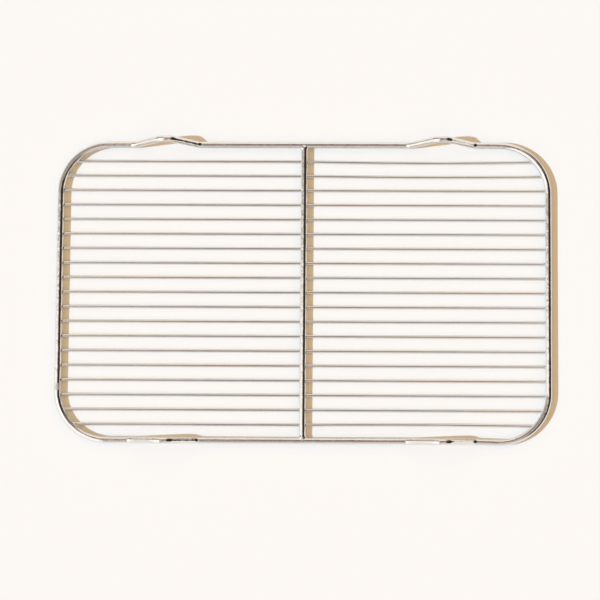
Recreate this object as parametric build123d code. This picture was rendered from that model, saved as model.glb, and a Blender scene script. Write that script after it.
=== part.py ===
"""Wire roasting rack, lying upside down with its grid on the table and its four feet up.

The rack is one heavy round wire bent into a closed loop, a heavy bar across its middle, and
thin straight wires welded under both. X runs along the rack, Y across it and Z up. The origin
is on the table, under the middle of the rack.
"""

import os
from math import radians, sqrt, tan

from build123d import *

# Driving dimensions in millimetres and degrees
OUTSIDE_LENGTH = 420.0  # over the two ends of the frame
OUTSIDE_WIDTH = 258.0  # over the two long sides, feet not counted
FRAME_WIRE = 5.6  # diameter of the frame's wire
BAR_WIRE = 5.6  # diameter of the bar across the middle
GRID_WIRE = 2.9  # diameter of the thin wires
CORNER_RADIUS = 44.5  # outside radius of the frame's corners

GRID_COUNT = 19  # thin wires
SIDE_GAP = 13.7  # from a long side's centre line to the nearest thin wire's
END_INSET = 0.8  # how far a thin wire stops short of the frame's outer edge
END_ROUND = 0.7  # rounding of a thin wire's ends
WELD_SINK = 0.35  # how far the welds press the thin wires into the heavy ones

FOOT_TO_CORNER = 21.0  # along the side, from a corner's bend to the foot nearest to it
FOOT_BASE = 55.0  # along the side, between the corners where a foot leaves it
FOOT_CREST = 9.0  # along the side, between the corners at a foot's top
FOOT_RISE = 19.5  # from the side's centre line to the crest's
FOOT_BEND = 9.0  # centre line radius of a foot's bends
FOOT_LEAN = 5.0  # outward lean of a foot, in degrees

WELD_LEG = 0.9  # how far the bead spreads to each side of the bar
WELD_RUN = 2.4  # length of the bead along the bar
WELD_HEIGHT = 4.6  # height of the bead, less than the heavy wires stand

# Places worked out from the driving dimensions
side_y = (OUTSIDE_WIDTH - FRAME_WIRE) / 2
end_x = (OUTSIDE_LENGTH - FRAME_WIRE) / 2
corner_bend = CORNER_RADIUS - FRAME_WIRE / 2
foot_x = end_x - corner_bend - FOOT_TO_CORNER - FOOT_BASE / 2
grid_z = GRID_WIRE / 2
frame_z = GRID_WIRE + FRAME_WIRE / 2 - WELD_SINK
bar_z = GRID_WIRE + BAR_WIRE / 2 - WELD_SINK
grid_pitch = 2 * (side_y - SIDE_GAP) / (GRID_COUNT - 1)
grid_overhang = FRAME_WIRE / 2 - END_INSET


def foot_points(middle_x, y, along):
    """Corners of one foot's centre line, in the order in which the loop passes them."""
    outward = 1 if y > 0 else -1
    crest_y = y + outward * FOOT_RISE * tan(radians(FOOT_LEAN))
    crest_z = frame_z + FOOT_RISE
    return [
        (middle_x - along * FOOT_BASE / 2, y, frame_z),
        (middle_x - along * FOOT_CREST / 2, crest_y, crest_z),
        (middle_x + along * FOOT_CREST / 2, crest_y, crest_z),
        (middle_x + along * FOOT_BASE / 2, y, frame_z),
    ]


def half_loop(along):
    """Half of the frame's centre line: one long side with its feet, and half of each end."""
    y = -along * side_y
    feet = foot_points(-along * foot_x, y, along) + foot_points(along * foot_x, y, along)
    points = [
        (-along * end_x, 0, frame_z),
        (-along * end_x, y, frame_z),
        *feet,
        (along * end_x, y, frame_z),
        (along * end_x, 0, frame_z),
    ]
    bends = [corner_bend] + [FOOT_BEND] * len(feet) + [corner_bend]
    return FilletPolyline(*points, radius=bends)


def bent_wire(path, diameter):
    """Round wire that follows a centre line."""
    section = Plane(origin=path @ 0, z_dir=path % 0) * Circle(diameter / 2)
    return sweep(section, path=path)


def grid_reach(y):
    """Half length of the thin wire at y, which ends under the frame also where a corner bends in."""
    into_corner = max(0, abs(y) - (side_y - corner_bend))
    return end_x - corner_bend + sqrt((corner_bend + grid_overhang) ** 2 - into_corner**2)


def grid_wire(y):
    """One thin straight wire along X, lying on the table, cut off square."""
    half = grid_reach(y)
    return Plane(origin=(-half, y, grid_z), z_dir=(1, 0, 0)) * Cylinder(
        GRID_WIRE / 2, 2 * half, align=(Align.CENTER, Align.CENTER, Align.MIN)
    )


def rounded_ends(wire):
    """The thin wire with the edges of its cut ends rounded."""
    return fillet(wire.edges().filter_by(GeomType.CIRCLE), END_ROUND)


def weld_bead(toward):
    """Bead that widens from the bar to a long side, cut off flat above and below."""
    start = Plane(origin=(0, toward * side_y, bar_z), z_dir=(0, -toward, 0))
    length = FRAME_WIRE / 2 + WELD_RUN
    cone = start * Cone(
        BAR_WIRE / 2 + WELD_LEG, BAR_WIRE / 2, length, align=(Align.CENTER, Align.CENTER, Align.MIN)
    )
    slab = Pos(0, toward * side_y, bar_z) * Box(4 * BAR_WIRE, 2 * length, WELD_HEIGHT)
    return cone & slab


# Frame, with seats pressed into its underside by the thin wires
wires = [grid_wire((number - (GRID_COUNT - 1) / 2) * grid_pitch) for number in range(GRID_COUNT)]
loop = bent_wire(half_loop(1), FRAME_WIRE) + bent_wire(half_loop(-1), FRAME_WIRE)
frame = loop - wires

# Bar across the middle, coped to the long sides, with a weld bead at each end
bar = Plane(origin=(0, -side_y, bar_z), z_dir=(0, 1, 0)) * Cylinder(
    BAR_WIRE / 2, 2 * side_y, align=(Align.CENTER, Align.CENTER, Align.MIN)
)
centre_bar = bar + weld_bead(1) + weld_bead(-1) - loop - wires

os.makedirs("parts", exist_ok=True)
export_step(frame, "parts/frame.step")
export_step(centre_bar, "parts/centre_bar.step")
for number, wire in enumerate(wires, start=1):
    export_step(rounded_ends(wire), f"parts/grid_wire_{number:02d}.step")
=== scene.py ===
import math

import bmesh
import bpy
from mathutils import Matrix, Vector


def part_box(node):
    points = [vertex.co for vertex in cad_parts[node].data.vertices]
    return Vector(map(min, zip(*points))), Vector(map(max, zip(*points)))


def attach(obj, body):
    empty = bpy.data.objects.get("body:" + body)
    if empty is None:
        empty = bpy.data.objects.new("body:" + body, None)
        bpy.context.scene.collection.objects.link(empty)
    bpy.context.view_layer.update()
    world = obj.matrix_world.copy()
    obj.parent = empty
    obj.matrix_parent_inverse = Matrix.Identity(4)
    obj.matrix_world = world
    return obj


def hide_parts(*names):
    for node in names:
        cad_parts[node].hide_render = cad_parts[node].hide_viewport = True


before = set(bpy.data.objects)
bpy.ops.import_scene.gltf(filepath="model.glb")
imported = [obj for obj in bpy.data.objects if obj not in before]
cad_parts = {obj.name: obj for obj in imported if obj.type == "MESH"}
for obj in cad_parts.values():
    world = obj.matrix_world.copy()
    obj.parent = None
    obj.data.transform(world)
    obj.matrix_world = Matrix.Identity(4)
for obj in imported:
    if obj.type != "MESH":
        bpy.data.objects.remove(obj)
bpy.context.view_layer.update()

# Frame: one heavy round wire of stainless steel, bent cold into a closed loop with four feet in its long
# sides and butt-welded where it closes. Bending has dented it faintly and left its front right corner
# sprung out, and polishing has left faint draw lines along it. All sizes are in metres.
CORNER_BEND = 0.0417  # radius of the corners, at the wire's centre line
CORNER_SPRING = Vector((0, -0.0018, 0))  # how far the front right corner is sprung out
FOOT_SPACING = 0.234  # between the middles of the two feet of one side
FOOT_BASE = 0.055  # between the corners where a foot leaves the side
FOOT_CREST = 0.009  # between the corners at a foot's top
FOOT_BEND = 0.009  # radius of a foot's bends
ARC_STEP = math.radians(4)
RUN_STEP = 0.006
HEAVY_SIDES = 40
STEEL_DULL = (0.79, 0.765, 0.725, 1)
STEEL_BRIGHT = (0.86, 0.835, 0.795, 1)
HEAVY_ROUGHNESS = 0.05
HEAVY_DENTS = 1.5  # depth of the dents, as a share of the waves' depth
CLOUD_SIZE = (0.012, 0.003)  # length along the wire and width around it, as for the next three
LINE_SIZE = (0.03, 0.0004)
WAVE_SIZE = (0.02, 0.004)
DENT_SIZE = (0.005, 0.0025)
GRAIN_DETAIL = 3
WAVE_DEPTH = 0.0001
LINE_DEPTH = 0.15  # as a share of the waves' depth
CLOUD_ROUGHNESS = 0.03
LINE_ROUGHNESS = 0.02
frame_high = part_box("frame")[1]
bar_low, bar_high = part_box("centre_bar")
heavy_radius = (bar_high.z - bar_low.z) / 2
frame_z = (bar_high.z + bar_low.z) / 2
end_x = frame_high.x - heavy_radius
side_y = bar_high.y
crest_y = frame_high.y - heavy_radius
crest_z = frame_high.z - heavy_radius


def bend(before, corner, after, radius):
    """Points on the arc that rounds one corner of a wire's centre line."""
    travel = (corner - before).normalized()
    ahead = (after - corner).normalized()
    half_turn = travel.angle(ahead) / 2
    start = corner - travel * radius * math.tan(half_turn)
    inward = (ahead - travel).normalized()
    middle = corner + inward * radius / math.cos(half_turn)
    outward = (start - middle).normalized()
    steps = math.ceil(2 * half_turn / ARC_STEP)
    angles = [2 * half_turn * step / steps for step in range(steps + 1)]
    return [middle + radius * (outward * math.cos(angle) + travel * math.sin(angle)) for angle in angles]


def run(start, end):
    """Points between the ends of one straight run, its ends left out."""
    steps = math.ceil((end - start).length / RUN_STEP)
    return [start.lerp(end, step / steps) for step in range(1, steps)]


def closed_line(corners):
    """Centre line of a closed loop, from its corners and the radius of the bend at each."""
    arcs = []
    for number, (corner, radius) in enumerate(corners):
        before = corners[number - 1][0]
        after = corners[(number + 1) % len(corners)][0]
        arcs.append(bend(before, corner, after, radius))
    points = []
    for number, arc in enumerate(arcs):
        points += arc + run(arc[-1], arcs[(number + 1) % len(arcs)][0])
    return points


def foot_corners(middle, along, outward):
    """Corners of one foot's centre line, in the order in which the loop passes them."""
    return [
        Vector((middle - along * FOOT_BASE / 2, outward * side_y, frame_z)),
        Vector((middle - along * FOOT_CREST / 2, outward * crest_y, crest_z)),
        Vector((middle + along * FOOT_CREST / 2, outward * crest_y, crest_z)),
        Vector((middle + along * FOOT_BASE / 2, outward * side_y, frame_z)),
    ]


def mark_grain(mesh, places):
    """Smooth shading, and the attribute grain, which the finish of the steel follows."""
    mesh.attributes.new("grain", "FLOAT_VECTOR", "POINT").data.foreach_set("vector", places)
    mesh.shade_smooth()


def wire_mesh(name, points, rings, closed):
    """Mesh of a round wire: one ring of points at each point of its centre line, and faces between them.

    A ring gives its half width and half height at each of its sides. The grain runs along the wire.
    """
    sides = len(rings[0])
    corners = []
    grain = []
    travelled = 0.0
    for number, point in enumerate(points):
        if number:
            travelled += (point - points[number - 1]).length
        before = points[number - 1] if closed or number else point
        after = points[(number + 1) % len(points)] if closed or number + 1 < len(points) else point
        travel = (after - before).normalized()
        across = travel.cross(Vector((0, 0, 1))).normalized()
        up = across.cross(travel)
        for wide, high in rings[number]:
            corners.append(point + across * wide + up * high)
            grain += (travelled, wide, high)
    faces = []
    for number in range(len(points) if closed else len(points) - 1):
        here = number * sides
        there = (number + 1) % len(points) * sides
        for side in range(sides):
            other = (side + 1) % sides
            faces.append((here + side, there + side, there + other, here + other))
    if not closed:
        faces.append(tuple(range(sides)))
        faces.append(tuple(range(len(corners) - 1, len(corners) - sides - 1, -1)))
    mesh = bpy.data.meshes.new(name)
    mesh.from_pydata(corners, [], faces)
    mark_grain(mesh, grain)
    return mesh


def round_ring(radius, sides):
    """Half width and half height of a round wire at each of its sides."""
    angles = [2 * math.pi * side / sides for side in range(sides)]
    return [(radius * math.sin(angle), radius * math.cos(angle)) for angle in angles]


class Shade:
    """A socket of a node tree, so that shader maths reads as plain expressions."""

    def __init__(self, tree, socket=None):
        self.tree = tree
        self.socket = socket

    def add(self, kind, settings, sockets, output=0):
        """Adds a node: its settings are made first, then its sockets get their values or links."""
        node = self.tree.nodes.new(kind)
        for name, value in settings.items():
            setattr(node, name, value)
        for name, value in sockets.items():
            if isinstance(value, Shade):
                self.tree.links.new(value.socket, node.inputs[name])
            else:
                node.inputs[name].default_value = value
        return Shade(self.tree, node.outputs[output] if node.outputs else None)

    def beside(self, output):
        """Another output of the node that this value comes from."""
        return Shade(self.tree, self.socket.node.outputs[output])

    def maths(self, operation, first, second):
        """One step of maths on two values."""
        return self.add("ShaderNodeMath", {"operation": operation}, {0: first, 1: second})

    def __add__(self, other):
        return self.maths("ADD", self, other)

    def __radd__(self, other):
        return self.maths("ADD", other, self)

    def __sub__(self, other):
        return self.maths("SUBTRACT", self, other)

    def __rsub__(self, other):
        return self.maths("SUBTRACT", other, self)

    def __mul__(self, other):
        return self.maths("MULTIPLY", self, other)

    def __rmul__(self, other):
        return self.maths("MULTIPLY", other, self)

    def stretched(self, along, around):
        """Noise that follows the wire, from the length and width of its patches."""
        scale = (1 / along, 1 / around, 1 / around)
        place = self.add("ShaderNodeVectorMath", {"operation": "MULTIPLY"}, {0: self, 1: scale})
        noise = {"Vector": place, "Scale": 1, "Detail": GRAIN_DETAIL}
        return self.add("ShaderNodeTexNoise", {}, noise, "Fac")

    def mixed(self, under, over):
        """The colour under where this value is 0, the colour over where it is 1, and between them a mix."""
        return self.add("ShaderNodeMix", {"data_type": "RGBA"}, {0: self, 6: under, 7: over}, 2)


def empty_tree(owner):
    """Node tree of a material or of the room, cleared."""
    owner.use_nodes = True
    owner.node_tree.nodes.clear()
    return Shade(owner.node_tree)


def polished_steel(name, dull, bright, roughness, dented):
    """Polished stainless steel with cloudy patches and faint draw lines, wavy and dented by bending."""
    material = bpy.data.materials.new(name)
    tree = empty_tree(material)
    grain = tree.add("ShaderNodeAttribute", {"attribute_name": "grain"}, {}, "Vector")
    clouds = grain.stretched(*CLOUD_SIZE)
    lines = grain.stretched(*LINE_SIZE)
    waves = grain.stretched(*WAVE_SIZE)
    dents = grain.stretched(*DENT_SIZE)
    height = waves + LINE_DEPTH * lines + dented * dents
    bump = tree.add("ShaderNodeBump", {}, {"Strength": 1, "Distance": WAVE_DEPTH, "Height": height})
    surface = tree.add(
        "ShaderNodeBsdfPrincipled",
        {},
        {
            "Base Color": clouds.mixed(dull, bright),
            "Metallic": 1,
            "Roughness": roughness + CLOUD_ROUGHNESS * clouds + LINE_ROUGHNESS * lines,
            "Normal": bump,
        },
    )
    tree.add("ShaderNodeOutputMaterial", {}, {"Surface": surface})
    return material


def dress(name, mesh, material, node):
    """Object for one piece, which moves with the rack and stands for its node, if it has one."""
    mesh.materials.append(material)
    piece = bpy.data.objects.new(name, mesh)
    bpy.context.scene.collection.objects.link(piece)
    if node:
        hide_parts(node)
    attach(piece, "root")


heavy_steel = polished_steel(
    "polished_heavy_steel", STEEL_DULL, STEEL_BRIGHT, HEAVY_ROUGHNESS, HEAVY_DENTS
)
loop = []
for along, outward in ((1, -1), (-1, 1)):
    loop.append((Vector((-along * end_x, outward * side_y, frame_z)), CORNER_BEND))
    for place in (-along, along):
        foot = foot_corners(place * FOOT_SPACING / 2, along, outward)
        loop += [(corner, FOOT_BEND) for corner in foot]
    spring = CORNER_SPRING if along > 0 else Vector()
    loop.append((Vector((along * end_x, outward * side_y, frame_z)) + spring, CORNER_BEND))
frame_line = closed_line(loop)
frame_rings = [round_ring(heavy_radius, HEAVY_SIDES)] * len(frame_line)
frame_mesh = wire_mesh("frame_loop", frame_line, frame_rings, True)
dress("frame_loop", frame_mesh, heavy_steel, "frame")

# Bar across the middle: a straight length of the same heavy wire, fitted between the long sides at
# their own height. A small weld at each end joins it to the frame and swells it a little there.
WELD_LEG = 0.0007  # how far a weld swells the bar to each side
WELD_RUN = 0.0024  # length of a weld along the bar
WELD_STEPS = 12
weld_end = side_y - heavy_radius
weld_start = weld_end - WELD_RUN


def bar_ring(y):
    """Ring of the bar, wider near its ends, where the weld flares out to the frame."""
    into_weld = max(0, (min(abs(y), weld_end) - weld_start) / WELD_RUN)
    flare = 1 + WELD_LEG / heavy_radius * into_weld**2
    return [(wide * flare, high) for wide, high in round_ring(heavy_radius, HEAVY_SIDES)]


weld_places = [weld_start + WELD_RUN * step / WELD_STEPS for step in range(WELD_STEPS + 1)]
far_end = weld_places + [side_y]
bar_line = [Vector((0, -y, frame_z)) for y in reversed(far_end)]
bar_line += run(Vector((0, -weld_start, frame_z)), Vector((0, weld_start, frame_z)))
bar_line += [Vector((0, y, frame_z)) for y in far_end]
bar_rings = [bar_ring(point.y) for point in bar_line]
bar_mesh = wire_mesh("bar_across", bar_line, bar_rings, False)
dress("bar_across", bar_mesh, heavy_steel, "centre_bar")

# Grid: nineteen thin straight wires of the same steel. Each passes under both ends of the frame and
# under the bar and is spot-welded at the three crossings. Its cut ends are rounded off by polishing, and
# three of the wires have a slight bow.
THIN_SIDES = 24
THIN_ROUGHNESS = 0.06
THIN_DENTS = 0.2
END_ROUND = 0.0007
END_STEPS = 5
BOWS = {"grid_wire_01": 0.0006, "grid_wire_18": -0.0007, "grid_wire_19": -0.0010}
thin_steel = polished_steel("polished_thin_steel", STEEL_DULL, STEEL_BRIGHT, THIN_ROUGHNESS, THIN_DENTS)


def thin_wire(name, node):
    """One thin wire, from the box of its node. Its bow is a bend toward the middle, right of the bar."""
    low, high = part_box(node)
    radius = (high.z - low.z) / 2
    middle_y = (low.y + high.y) / 2
    bow = BOWS.get(node, 0)
    turns = [math.pi / 2 * step / END_STEPS for step in range(END_STEPS + 1)]
    tips = [(END_ROUND * (1 - math.sin(turn)), END_ROUND * (1 - math.cos(turn))) for turn in turns]
    line = [Vector((low.x + inset, middle_y, radius)) for inset, _ in reversed(tips)]
    rings = [round_ring(radius - cut, THIN_SIDES) for _, cut in reversed(tips)]
    start = Vector((low.x + END_ROUND, middle_y, radius))
    end = Vector((high.x - END_ROUND, middle_y, radius))
    for point in run(start, end):
        line.append(point + Vector((0, bow * math.sin(math.pi * max(0, point.x) / high.x), 0)))
        rings.append(round_ring(radius, THIN_SIDES))
    line += [Vector((high.x - inset, middle_y, radius)) for inset, _ in tips]
    rings += [round_ring(radius - cut, THIN_SIDES) for _, cut in tips]
    return wire_mesh(name, line, rings, False)


thin_nodes = [node for node in sorted(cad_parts) if node.startswith("grid_wire")]
for node in thin_nodes:
    name = node.replace("grid", "thin")
    dress(name, thin_wire(name, node), thin_steel, node)

# Welds: at each crossing the spot weld has squeezed a low lump of steel out between the thin wire and
# the heavy one above it. The heat has dulled the lumps and left a trace of straw colour on them.
LUMP_SIZE = Vector((0.0019, 0.0015, 0.0005))  # half length, half width and half height
LUMP_DETAIL = 2
WELD_DULL = (0.60, 0.53, 0.43, 1)
WELD_BRIGHT = (0.76, 0.70, 0.60, 1)
WELD_ROUGHNESS = 0.2
WELD_DENTS = 1
thin_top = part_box("grid_wire_01")[1].z
weld_steel = polished_steel("dull_weld_steel", WELD_DULL, WELD_BRIGHT, WELD_ROUGHNESS, WELD_DENTS)


def frame_x(y):
    """Place along the rack of the frame's centre line at y, right of the middle."""
    into_corner = max(0, abs(y) - (side_y - CORNER_BEND))
    return end_x - CORNER_BEND + math.sqrt(CORNER_BEND**2 - into_corner**2)


lumps = bmesh.new()
for node in thin_nodes:
    low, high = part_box(node)
    y = (low.y + high.y) / 2
    for x in (-frame_x(y), 0, frame_x(y)):
        place = Matrix.Translation((x, y, thin_top)) @ Matrix.Diagonal(LUMP_SIZE).to_4x4()
        bmesh.ops.create_icosphere(lumps, subdivisions=LUMP_DETAIL, radius=1, matrix=place)
weld_mesh = bpy.data.meshes.new("crossing_welds")
lumps.to_mesh(weld_mesh)
lumps.free()
mark_grain(weld_mesh, [part for corner in weld_mesh.vertices for part in corner.co])
dress("crossing_welds", weld_mesh, weld_steel, None)

# Table top: a wide plain matt sheet under the rack, almost white. It is there only for the picture and
# takes the shadows.
FLOOR_HALF = 4
FLOOR_COLOUR = (0.93, 0.91, 0.89, 1)
floor_mesh = bpy.data.meshes.new("table_top")
floor_corners = [(x * FLOOR_HALF, y * FLOOR_HALF, 0) for x, y in ((-1, -1), (1, -1), (1, 1), (-1, 1))]
floor_mesh.from_pydata(floor_corners, [], [(0, 1, 2, 3)])
floor = bpy.data.objects.new("table_top", floor_mesh)
bpy.context.scene.collection.objects.link(floor)
matt = bpy.data.materials.new("matt_table_top")
tree = empty_tree(matt)
surface = tree.add("ShaderNodeBsdfDiffuse", {}, {"Color": FLOOR_COLOUR})
tree.add("ShaderNodeOutputMaterial", {}, {"Surface": surface})
floor_mesh.materials.append(matt)

# Light: one small cool lamp from the left, which draws the sharp shadows. The steel doesn't mirror the
# lamp itself, because the room around it holds a bright spot at the same place for that.
LIGHT_FROM = Vector((-0.859, -0.185, 1))
LIGHT_COLOUR = (0.531, 0.757, 1.0)
LIGHT_STRENGTH = 2.98
LIGHT_ANGLE = math.radians(1.5)
lamp = bpy.data.lights.new("light", "SUN")
lamp.energy = LIGHT_STRENGTH
lamp.color = LIGHT_COLOUR
lamp.angle = LIGHT_ANGLE
light = bpy.data.objects.new("light", lamp)
light.rotation_euler = LIGHT_FROM.to_track_quat("Z", "Y").to_euler()
light.visible_glossy = False
bpy.context.scene.collection.objects.link(light)

# Room: the table gets a warm fill from above. Polished steel shows what stands around it, so it mirrors a
# room with a window and a wall on the left, a beige back, a grey ceiling, and dark things to the right.
# Each of them fades in between two limits of the direction: way_x to the right, way_y back, way_z up.
FILL_LOW = (0.244, 0.179, 0.111, 1)
FILL_OVERHEAD = (0.859, 0.625, 0.385, 1)
FILL_FROM_STEEL = (0.64, 0.49, 0.13, 1)
ROOM_LOW = (1.02, 0.95, 0.885, 1)
ROOM_GREY = (0.355, 0.302, 0.307, 1)
ROOM_PALE = (0.60, 0.53, 0.52, 1)
ROOM_FRONT = (0.84, 0.77, 0.745, 1)
ROOM_WALL = (0.50, 0.46, 0.42, 1)
ROOM_BROWN = (0.13, 0.088, 0.066, 1)
ROOM_BEIGE = (1.06, 0.97, 0.86, 1)
ROOM_WINDOW = (1.22, 1.19, 1.16, 1)
ROOM_SILL = (0.66, 0.63, 0.60, 1)
ROOM_SHADE = (0.40, 0.365, 0.33, 1)
ROOM_GLINT = (2.5, 2.5, 2.5, 1)
ROOM_DARK = (0.042, 0.031, 0.026, 1)
FRONT_SLANT = 0.2
BACK_SLANT = 0.8
world = bpy.data.worlds.new("room")
bpy.context.scene.world = world
tree = empty_tree(world)
way = tree.add("ShaderNodeTexCoord", {}, {}, "Generated")
way_x = tree.add("ShaderNodeSeparateXYZ", {}, {"Vector": way}, "X")
way_y = way_x.beside("Y")
way_z = way_x.beside("Z")
way_left = 0 - way_x


def smooth(value, low, high):
    """0 below low, 1 above high, and a smooth rise between."""
    limits = {"From Min": low, "From Max": high, "Value": value}
    return value.add("ShaderNodeMapRange", {"interpolation_type": "SMOOTHSTEP"}, limits)


# Ceiling, front and back
pale_ends = smooth(way_left, 0.03, 0.11) + smooth(way_x, 0.03, 0.05)
ceiling = pale_ends.mixed(ROOM_GREY, ROOM_PALE)
open_front = smooth(way_x, -0.045, -0.015) * (1 - smooth(way_y, -0.82, -0.4))
ceiling = open_front.mixed(ceiling, ROOM_FRONT)
past_front = smooth(way_y, -1, -0.75)
room_light = past_front.mixed(ROOM_FRONT, ceiling)
back = smooth(way_y, 0.3, 0.8)
room_light = back.mixed(room_light, ROOM_BEIGE)

# Wall and window on the left, and what lies low on both sides
shaded_wall = smooth(way_y, 0.2, 0.4)
left_wall = shaded_wall.mixed(ROOM_WALL, ROOM_SHADE)
window = 1 - smooth(way_y, 0.105, 0.175)
left_wall = window.mixed(left_wall, ROOM_WINDOW)
left_back = smooth(way_y, 0.6, 0.95)
left_wall = left_back.mixed(left_wall, ROOM_BEIGE)
left = smooth(way_left, 0.12, 0.2)
room_light = left.mixed(room_light, left_wall)
sill = smooth(way_left, 0.6, 0.8) * (1 - smooth(way_z, 0, 0.1))
room_light = sill.mixed(room_light, ROOM_SILL)
low_right = smooth(way_x, 0.3, 0.6)
room_light = low_right.mixed(room_light, ROOM_LOW)

# Dark things overhead and to the right
dark_front = smooth(way_y + FRONT_SLANT * way_x, 0.04, 0.16)
dark_back = 1 - smooth(way_y - BACK_SLANT * way_x, 0.3, 0.6)
not_high_back = 1 - smooth(way_y, 0.33, 0.48) * smooth(way_z, 0.6, 0.8)
dark_band = smooth(way_x, -0.2, -0.06) * smooth(way_z, 0.13, 0.18)
dark_band = dark_band * dark_front * dark_back * not_high_back
darkest = smooth(way_x, 0.02, 0.25)
seen_in_steel = dark_band.mixed(room_light, darkest.mixed(ROOM_BROWN, ROOM_DARK))
dark_right = smooth(way_x, 0.25, 0.5) * smooth(way_z, 0.16, 0.22)
dark_right = dark_right * smooth(way_y, -0.8, -0.6) * (1 - smooth(way_y, 0.6, 0.8)) * not_high_back
seen_in_steel = dark_right.mixed(seen_in_steel, ROOM_DARK)

# Bright spot at the lamp's place
light_way = {0: way, 1: LIGHT_FROM.normalized()}
toward_light = way.add("ShaderNodeVectorMath", {"operation": "DOT_PRODUCT"}, light_way, "Value")
glint = smooth(toward_light, 0.985, 0.995)
seen_in_steel = glint.mixed(seen_in_steel, ROOM_GLINT)

# Steel mirrors the room, but the table gets the fill, and an even light off the steel in place of the room
overhead = smooth(way_z, 0, 1)
fill = overhead.mixed(FILL_LOW, FILL_OVERHEAD)
glossy_ray = tree.add("ShaderNodeLightPath", {}, {}, "Is Glossy Ray")
camera_ray = glossy_ray.beside("Is Camera Ray")
table_bounces = glossy_ray.beside("Diffuse Depth")
off_table = table_bounces.maths("MINIMUM", table_bounces, 1)
mirrored = glossy_ray * (1 - off_table)
fill = glossy_ray.mixed(fill, FILL_FROM_STEEL)
light_seen = camera_ray.mixed(mirrored.mixed(fill, seen_in_steel), FLOOR_COLOUR)
room = tree.add("ShaderNodeBackground", {}, {"Color": light_seen, "Strength": 1})
tree.add("ShaderNodeOutputWorld", {}, {"Surface": room})

# Camera: a long lens high above the rack and a little in front of it, at the photograph's viewing angle.
# Colours are shown as they are written.
CAMERA_PLACE = (0.0585, -0.305, 2.3252)
CAMERA_TURN = (0.1280, 0.0254, 0.0078)
CAMERA_LENS = 165.9
CAMERA_SENSOR = 36
camera_data = bpy.data.cameras.new("camera")
camera_data.lens = CAMERA_LENS
camera_data.sensor_width = CAMERA_SENSOR
camera = bpy.data.objects.new("camera", camera_data)
camera.location = CAMERA_PLACE
camera.rotation_euler = CAMERA_TURN
bpy.context.scene.collection.objects.link(camera)
bpy.context.scene.camera = camera
bpy.context.scene.view_settings.view_transform = "Standard"
